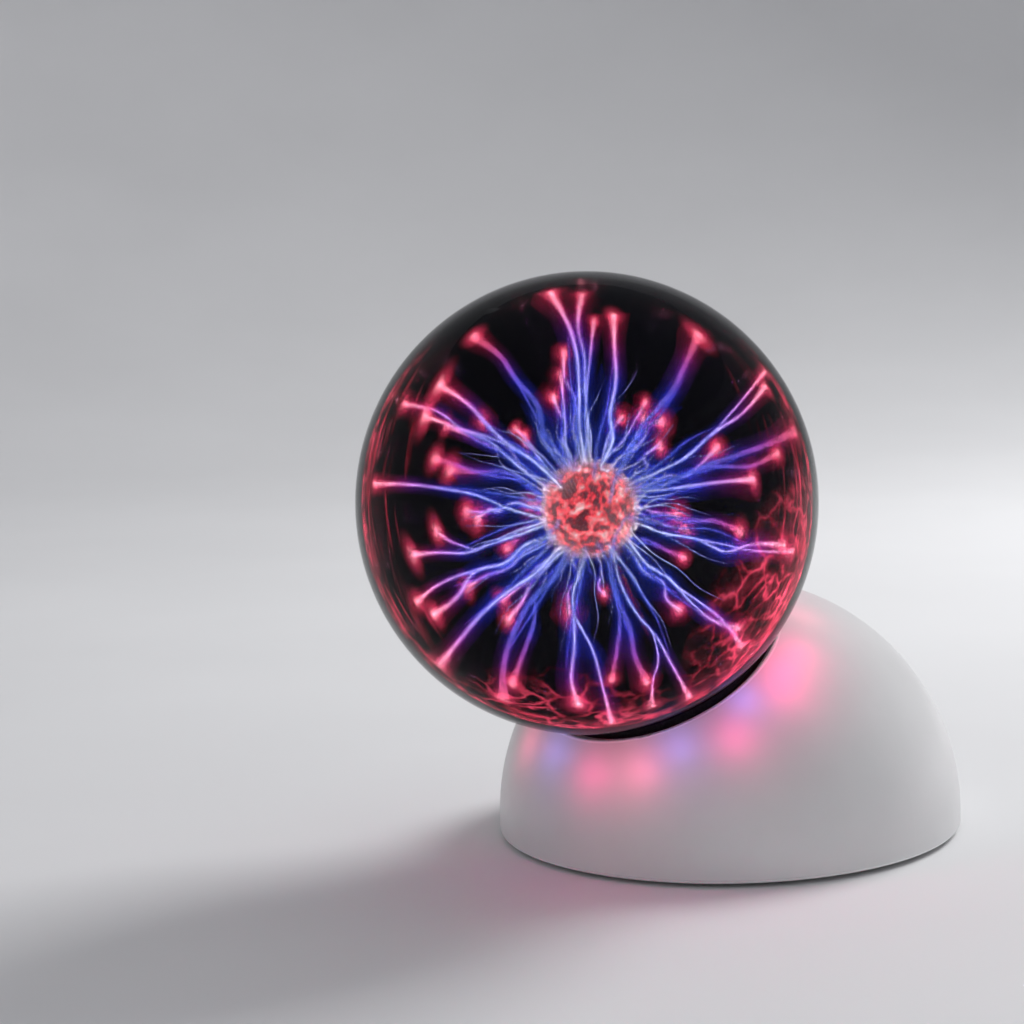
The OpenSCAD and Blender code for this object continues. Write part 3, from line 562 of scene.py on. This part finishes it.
class Cloud:
    """One mesh that gathers many tubes or patches. strength is how brightly each point glows, from 0 to 1."""

    def __init__(self):
        self.verts = []
        self.faces = []
        self.strength = []

    def tube(self, path, radii, sides):
        """A closed tube along a path, with a radius for each of its points."""
        start = len(self.verts)
        side = perpendicular((path[1] - path[0]).normalized())
        for i, point in enumerate(path):
            along = (path[min(i + 1, len(path) - 1)] - path[max(i - 1, 0)]).normalized()
            side = (side - along * side.dot(along)).normalized()
            other = along.cross(side)
            for k in range(sides):
                a = 2 * math.pi * k / sides
                self.verts.append(kept_inside(point + radii[i] * (math.cos(a) * side + math.sin(a) * other)))
        for i in range(len(path) - 1):
            for k in range(sides):
                a, b = start + i * sides + k, start + i * sides + (k + 1) % sides
                self.faces.append((a, b, b + sides, a + sides))
        self.faces.append(tuple(start + k for k in reversed(range(sides))))
        last = start + (len(path) - 1) * sides
        self.faces.append(tuple(last + k for k in range(sides)))
        self.strength += [1.0] * (len(self.verts) - len(self.strength))

    def patch(self, direction, along, half, level, peak, rings=5, sides=20):
        """A sheet of light that follows the inside of the globe at the radius level, with its half sizes
        along and across. It glows with peak strength at its middle and fades to nothing at its edge."""
        start = len(self.verts)
        across = direction.cross(along).normalized()
        self.verts.append(GLOBE + direction * level)
        self.strength.append(peak)
        for i in range(1, rings + 1):
            t = i / rings
            for k in range(sides):
                a = 2 * math.pi * k / sides
                offset = along * half[0] * t * math.cos(a) + across * half[1] * t * math.sin(a)
                way = direction * level + offset
                self.verts.append(GLOBE + way.normalized() * level)
                self.strength.append(peak * (1 - t) ** 2 * (1 + 2 * t))
        for k in range(sides):
            self.faces.append((start, start + 1 + k, start + 1 + (k + 1) % sides))
        for i in range(rings - 1):
            for k in range(sides):
                a, b = start + 1 + i * sides + k, start + 1 + i * sides + (k + 1) % sides
                self.faces.append((a, a + sides, b + sides, b))

    def piece(self, name, material, slot="electrode_glass"):
        """Makes the mesh's object. It lights nothing and throws no shadow: small lamps light the dome."""
        mesh = bpy.data.meshes.new(name)
        mesh.from_pydata(self.verts, [], self.faces)
        mesh.shade_smooth()
        if min(self.strength, default=1.0) < 1.0:
            mesh.attributes.new("glow", "FLOAT", "POINT").data.foreach_set("value", self.strength)
        mesh.materials.append(material)
        obj = bpy.data.objects.new(name, mesh)
        bpy.context.scene.collection.objects.link(obj)
        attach(obj, "lamp")
        obj.visible_diffuse = False
        obj.visible_shadow = False


core, near_glow, mid_glow, wide_glow = Cloud(), Cloud(), Cloud(), Cloud()
spot_heart, spot_halo = Cloud(), Cloud()
CORE_RADIUS = 0.29                  # millimetres, as are the radii of the sheaths round it
NEAR_SHEATHS = ((near_glow, (0.50, 0.80)),)
SHEATHS = NEAR_SHEATHS + ((mid_glow, (1.15, 1.65)), (wide_glow, (2.2, 3.0, 3.9)))


def wander(start, end, kinks, size):
    """A path from start to end that strays sideways by up to size between its ends."""
    along = (end - start).normalized()
    side = perpendicular(along)
    other = along.cross(side)
    bow = side * draw.uniform(-size, size) + other * draw.uniform(-size, size)
    points = [start]
    for i in range(1, kinks + 1):
        t = i / (kinks + 1)
        kink = 0.45 * size * math.sin(math.pi * t) ** 0.5
        stray = side * draw.uniform(-kink, kink) + other * draw.uniform(-kink, kink)
        points.append(start.lerp(end, t) + bow * math.sin(math.pi * t) + stray)
    return points + [end]


def ease(t, low, high):
    """A smooth step from 0 at low to 1 at high."""
    s = min(1, max(0, (t - low) / (high - low)))
    return s * s * (3 - 2 * s)


def filament(path, width, soft, sharp=True, fade=False, sheaths=SHEATHS):
    """Sheaths of light along a path, flared where it meets the glass. sharp adds the bright core, soft widens
    the outer sheaths, and fade thins the far end away."""
    n = len(path) - 1
    flare = [ease((p - GLOBE).length, INSIDE_R - FLARE_LENGTH, INSIDE_R) for p in path]
    thin = [width * (0.85 + 0.55 * math.exp(-7 * i / n)) for i in range(n + 1)]
    if fade:
        thin = [w * (1.05 - i / n) for i, w in enumerate(thin)]
        flare = [0] * (n + 1)
    if sharp:
        core.tube(path, [CORE_RADIUS * MM * w * (1 + 1.2 * f) for w, f in zip(thin, flare)], 6)
    for cloud, radii in sheaths:
        outer = cloud is not near_glow
        slim = 0.12 if outer else 0.55          # width at the bulb, as a share of the full width
        open_out = 0.5 if outer else 1.1
        body = [slim + (1 - slim) * ease(i / n, 0.05, 0.45) for i in range(n + 1)]
        for radius in radii:
            full = radius * MM * (soft if outer else 1.0)
            cloud.tube(path, [full * w * g * (1 + open_out * f * f) for w, f, g in zip(thin, flare, body)], 8)


def foot(direction, size, stretch):
    """A soft pink patch where a filament meets the glass, drawn out along it. It is several sheets deep."""
    along = UP - direction * UP.dot(direction)
    if abs(direction.dot(TOWARD)) < 0.42:
        along = TOWARD.cross(direction)
    along = (Matrix.Rotation(draw.uniform(-0.4, 0.4), 3, direction) @ along).normalized()
    for depth, halo, heart in ((0.3, 1.9, 0.75), (1.1, 1.5, 0.6), (2.0, 1.1, 0.45)):
        level = INSIDE_R - depth * MM
        halo_peak = draw.uniform(0.75, 1.0)
        spot_halo.patch(direction, along, (size * halo * stretch, size * halo), level, halo_peak)
        spot_heart.patch(direction, along, (size * heart * stretch, size * heart), level - 0.1 * MM, 1.0)


def root(out, cling):
    """A filament's first points: it creeps over the bulb from a spot cling radians aside, then lifts off."""
    turn = Matrix.Rotation(draw.uniform(0, 2 * math.pi), 3, out)
    hinge = turn @ perpendicular(out)
    points = []
    for share, lift in ((1.0, 0.15), (0.72, 0.3), (0.4, 1.2)):
        way = Matrix.Rotation(cling * share, 3, hinge) @ out
        points.append(BULB + way * (BULB_R + lift * MM))
    return points


def discharge(direction, forks=(), width=1.0, soft=1.0, sharp=True, foot_size=2.6, stretch=1.3, stray=4.0):
    """A filament from the electrode to the glass, its forks, and the soft blue band that runs beside it.
    A fork is its place along the filament, from 0 to 1, and its direction. foot_size and stray are in
    millimetres."""
    end = GLOBE + direction * END_R
    out = (end - BULB).normalized()
    start = root(out, draw.choice((0.15, 0.25, 0.3, 0.75)))
    path = smooth_path(start[:-1] + wander(start[-1], end, 4, stray * MM), 5)
    filament(path, width, soft, sharp)
    foot(direction, foot_size * MM, stretch)
    for fork_at, fork_direction in forks:
        fork_end = GLOBE + fork_direction * END_R
        split = path[int(fork_at * (len(path) - 1))]
        filament(smooth_path(wander(split, fork_end, 2, stray * 0.5 * MM), 6), width * 0.75, soft, sharp)
        foot(fork_direction, foot_size * 0.9 * MM, stretch)
    # the band leaves beside the filament, keeps near it and fades out before the glass
    band_end = path[int(0.8 * (len(path) - 1))] + perpendicular(out) * draw.uniform(-4, 4) * MM
    start = root(out, draw.uniform(0.1, 0.4))
    band = smooth_path(start[:-1] + wander(start[-1], band_end, 2, stray * 0.6 * MM), 5)
    filament(band, width * 1.1, soft * 1.3, sharp=False, fade=True)


# The discharges of the view from the front: evenly spaced round the disc, with a little scatter, and ending
# at mixed distances from its middle. What ends near the middle is on the far half, so the electrode shows.
FRONT_COUNT = 34
REACHES = (0.96, 0.92, 0.86, 0.80, 0.68, 0.54, 0.45)     # share of the disc's radius
LEAST_NEAR_REACH = 0.75
for index in range(FRONT_COUNT):
    clock = 360 * index / FRONT_COUNT + draw.uniform(-4, 4)
    reach = REACHES[3 * index % len(REACHES)]
    side = 1 if reach > LEAST_NEAR_REACH and index % 4 else -1
    branches = []
    if index % 5 not in (1, 3):
        least = 0.5 if side < 0 else LEAST_NEAR_REACH
        fork_reach = min(0.97, max(reach + draw.uniform(-0.14, 0.12), least))
        fork = seen_direction(clock + draw.uniform(-12, 12), fork_reach, side)
        branches.append((draw.uniform(0.5, 0.7), fork))
    discharge(seen_direction(clock, reach, side), branches, width=draw.uniform(0.8, 1.2),
              soft=draw.uniform(0.8, 1.3), sharp=index % 4 != 3, foot_size=draw.uniform(1.5, 2.7),
              stretch=draw.uniform(1.0, 2.2))

# The rest of the far half: evenly spread directions with a little scatter
BACK_COUNT = 30
for index in range(BACK_COUNT):
    across, depth, height = even_direction(index, BACK_COUNT)
    way = RIGHT * across + UP * height + TOWARD * depth
    way = (way + Vector((draw.gauss(0, 0.1), draw.gauss(0, 0.1), draw.gauss(0, 0.1)))).normalized()
    if way.dot(TOWARD) > -0.55 or way.dot(NECK_AXIS) > STEM_CONE:
        continue
    side_way = (way + perpendicular(way) * draw.uniform(-0.3, 0.3)).normalized()
    discharge(way, [(0.6, side_way)] if index % 2 else [], width=0.9, soft=draw.uniform(0.8, 1.3),
              sharp=index % 3 != 0, foot_size=draw.uniform(1.5, 2.5), stretch=draw.uniform(1.0, 2.0))

# Fine rays round the electrode, but for its front, which fade before they reach the glass
RAY_COUNT = 90
for index in range(RAY_COUNT):
    way = even_direction(index, RAY_COUNT, turn=0.5)
    if way.dot(TOWARD) > 0.62 or way.dot(NECK_AXIS) > STEM_CONE:
        continue
    far_end = BULB + way * draw.uniform(28, 46) * MM
    start = root(way, draw.uniform(0.1, 0.3))
    ray = smooth_path(start[:-1] + wander(start[-1], far_end, 3, 2.5 * MM), 5)
    filament(ray, draw.uniform(0.35, 0.65), 1.0, fade=True, sheaths=NEAR_SHEATHS)

# Faint blue haze between the filaments: wide bands that swell on their way out and end before the glass
HAZE_COUNT = 18
HAZE_RADII = (3.6, 6.0)             # millimetres at the widest
for index in range(HAZE_COUNT):
    way = even_direction(index, HAZE_COUNT, turn=2.0)
    if way.dot(TOWARD) > 0.55 or way.dot(NECK_AXIS) > 0.80:
        continue
    far_end = BULB + way * draw.uniform(34, 42) * MM
    band = smooth_path(wander(BULB + way * BULB_R, far_end, 2, 3 * MM), 6)
    last = len(band) - 1
    for radius in HAZE_RADII:
        swell = [radius * MM * (0.06 + math.sin(math.pi * i / last) ** 2) for i in range(len(band))]
        wide_glow.tube(band, swell, 10)


def corona_cloud():
    """The short upright hairs of light that cover the bulb, but for where its stem begins."""
    cloud = Cloud()
    count = 2400
    for index in range(count):
        out = even_direction(index, count)
        if out.dot(NECK_AXIS) > 0.90:
            continue
        tip = BULB_R + draw.uniform(0.0, 0.2) * MM
        cloud.tube([BULB + out * (BULB_R - 1.4 * MM), BULB + out * tip], [0.24 * MM, 0.12 * MM], 3)
    return cloud


def film_cloud():
    """The inside of the glass, open at the neck, where the film of light lies."""
    cloud = Cloud()
    rings, sides = 48, 96
    neck_radius = 22 * MM
    opening = math.asin(neck_radius / INSIDE_R)
    axis_side = perpendicular(NECK_AXIS)
    axis_other = NECK_AXIS.cross(axis_side)
    for i in range(rings + 1):
        polar = opening + (math.pi - 0.02 - opening) * i / rings
        for k in range(sides):
            a = 2 * math.pi * k / sides
            flat = axis_side * math.cos(a) + axis_other * math.sin(a)
            way = NECK_AXIS * math.cos(polar) + flat * math.sin(polar)
            cloud.verts.append(GLOBE + way * (INSIDE_R - LIGHT_GAP))
    for i in range(rings):
        for k in range(sides):
            a, b = i * sides + k, i * sides + (k + 1) % sides
            cloud.faces.append((a, a + sides, b + sides, b))
    return cloud


core.piece("discharge_core", glow("plasma_core", CORE_STOPS, strength=1.35 * THROUGH, alpha=1.0))
near_glow.piece("discharge_near", glow("plasma_near", NEAR_STOPS, strength=1.4 * THROUGH, alpha=0.15))
mid_light = glow("plasma_mid", WIDE_STOPS, strength=1.9 * THROUGH, alpha=0.05, patchy=0.4)
mid_glow.piece("discharge_mid", mid_light)
wide_light = glow("plasma_wide", WIDE_STOPS, strength=1.9 * THROUGH, alpha=0.02, patchy=0.7)
wide_glow.piece("discharge_wide", wide_light)
heart_light = glow("spot_heart", HEART_STOPS, strength=7.0 * THROUGH, alpha=0.08, by_point=True)
spot_heart.piece("glass_spot_heart", heart_light)
halo_light = glow("spot_halo", FOOT_STOPS, strength=5.8 * THROUGH, alpha=0.06, by_point=True)
spot_halo.piece("glass_spot_halo", halo_light)
corona_cloud().piece("electrode_corona", glow("corona", CORONA_STOPS, strength=1.8 * THROUGH, alpha=0.06))
film_cloud().piece("glass_film", film("glass_film_light"))

# ---------------------------------------------------------------- floor, lights, world


def make_floor():
    """A round pale floor that curves up into a low wall on every side."""
    flat, bend, wall = 0.9, 1.5, 2.0     # radius of the flat part, radius of the bend, height of the wall
    sides, steps = 96, 16
    gap = 0.05 * MM                      # the floor lies this far under the feet
    outline = [(0.3, 0.0), (flat, 0.0)]
    for i in range(1, steps + 1):
        a = math.pi / 2 * i / steps
        outline.append((flat + bend * math.sin(a), bend - bend * math.cos(a)))
    outline.append((flat + bend, wall))
    verts = [(0, 0, -gap)]
    for radius, height in outline:
        for k in range(sides):
            a = 2 * math.pi * k / sides
            verts.append((radius * math.cos(a), radius * math.sin(a), height - gap))
    faces = [(0, 1 + k, 1 + (k + 1) % sides) for k in range(sides)]
    for i in range(len(outline) - 1):
        for k in range(sides):
            a, b = 1 + i * sides + k, 1 + i * sides + (k + 1) % sides
            faces.append((a, a + sides, b + sides, b))
    mesh = bpy.data.meshes.new("floor")
    mesh.from_pydata(verts, [], faces)
    mesh.shade_smooth()
    mat, tree, shader = new_material("floor_paper", (0.80, 0.80, 0.81), 0.7)
    tint(tree, shader, noise(tree, 0.004, 3.0), (0.78, 0.78, 0.79), (0.82, 0.82, 0.83))
    mesh.materials.append(mat)
    floor = bpy.data.objects.new("floor", mesh)
    bpy.context.scene.collection.objects.link(floor)


def area_light(name, place, size, power):
    """A soft light that faces the globe."""
    data = bpy.data.lights.new(name, "AREA")
    data.shape = "RECTANGLE"
    data.size, data.size_y = size
    data.energy = power
    light = bpy.data.objects.new(name, data)
    bpy.context.scene.collection.objects.link(light)
    light.location = place
    light.rotation_euler = (place - GLOBE).to_track_quat("Z", "Y").to_euler()
    light.visible_glossy = False


def glow_lamp(name, turn, down, lift, power, color):
    """A small lamp in the notch between globe and dome, that throws the discharge's colour on the dome. turn
    is in degrees round the seat from +X, down in degrees outside the seat's lip, and lift in millimetres off
    the dome."""
    polar = SEAT_EDGE + math.radians(down)
    sideways = Vector((1, 0, 0))
    flat = sideways * math.cos(math.radians(turn)) + LEAN.cross(sideways) * math.sin(math.radians(turn))
    place = DOME + (LEAN * math.cos(polar) + flat * math.sin(polar)) * (DOME_R + lift * MM)
    data = bpy.data.lights.new(name, "POINT")
    data.energy = power
    data.color = color
    data.shadow_soft_size = 3 * MM
    lamp = bpy.data.objects.new(name, data)
    bpy.context.scene.collection.objects.link(lamp)
    lamp.location = place
    lamp.visible_camera = False
    lamp.visible_glossy = False


make_floor()
right_side = RIGHT * 0.8 + TOWARD * -0.65 + Vector((0, 0, 0.9))
left_side = RIGHT * -0.9 + TOWARD * 0.6 + Vector((0, 0, 0.5))
area_light("overhead", Vector((0, 0, 2.3)), size=(3.2, 3.2), power=13.5)
area_light("key", GLOBE + right_side.normalized() * 1.3, size=(0.6, 0.5), power=12.5)
area_light("fill", GLOBE + left_side.normalized() * 1.6, size=(1.2, 1.2), power=0.7)

PINK = (1.0, 0.03, 0.25)
ROSE = (1.0, 0.12, 0.26)
VIOLET = (0.22, 0.20, 1.0)
GLOW_LAMPS = [      # turn, down, lift, power in watts, colour
    (44, 6, 9, 0.0022, ROSE), (20, 6, 8, 0.0026, PINK), (8, 5, 8, 0.0028, PINK), (0, 8, 9, 0.0030, PINK),
    (-14, 3, 6, 0.0013, VIOLET), (-26, 9, 9, 0.0032, PINK), (-46, 5, 8, 0.0016, VIOLET),
    (-62, 8, 9, 0.0030, ROSE), (-82, 8, 9, 0.0028, PINK), (-104, 5, 8, 0.0015, VIOLET),
    (-124, 8, 9, 0.0024, ROSE), (75, 7, 9, 0.0020, PINK), (110, 7, 9, 0.0024, PINK),
    (145, 6, 8, 0.0016, VIOLET), (180, 7, 9, 0.0026, PINK),
]
for index, lamp_row in enumerate(GLOW_LAMPS):
    glow_lamp(f"glow_{index}", *lamp_row)

world = bpy.data.worlds.new("studio")
bpy.context.scene.world = world
world.use_nodes = True
background = world.node_tree.nodes["Background"]
background.inputs["Color"].default_value = (0.9, 0.92, 1.0, 1)
background.inputs["Strength"].default_value = 0.20

scene = bpy.context.scene
scene.view_settings.view_transform = "Standard"
scene.cycles.transparent_max_bounces = 64
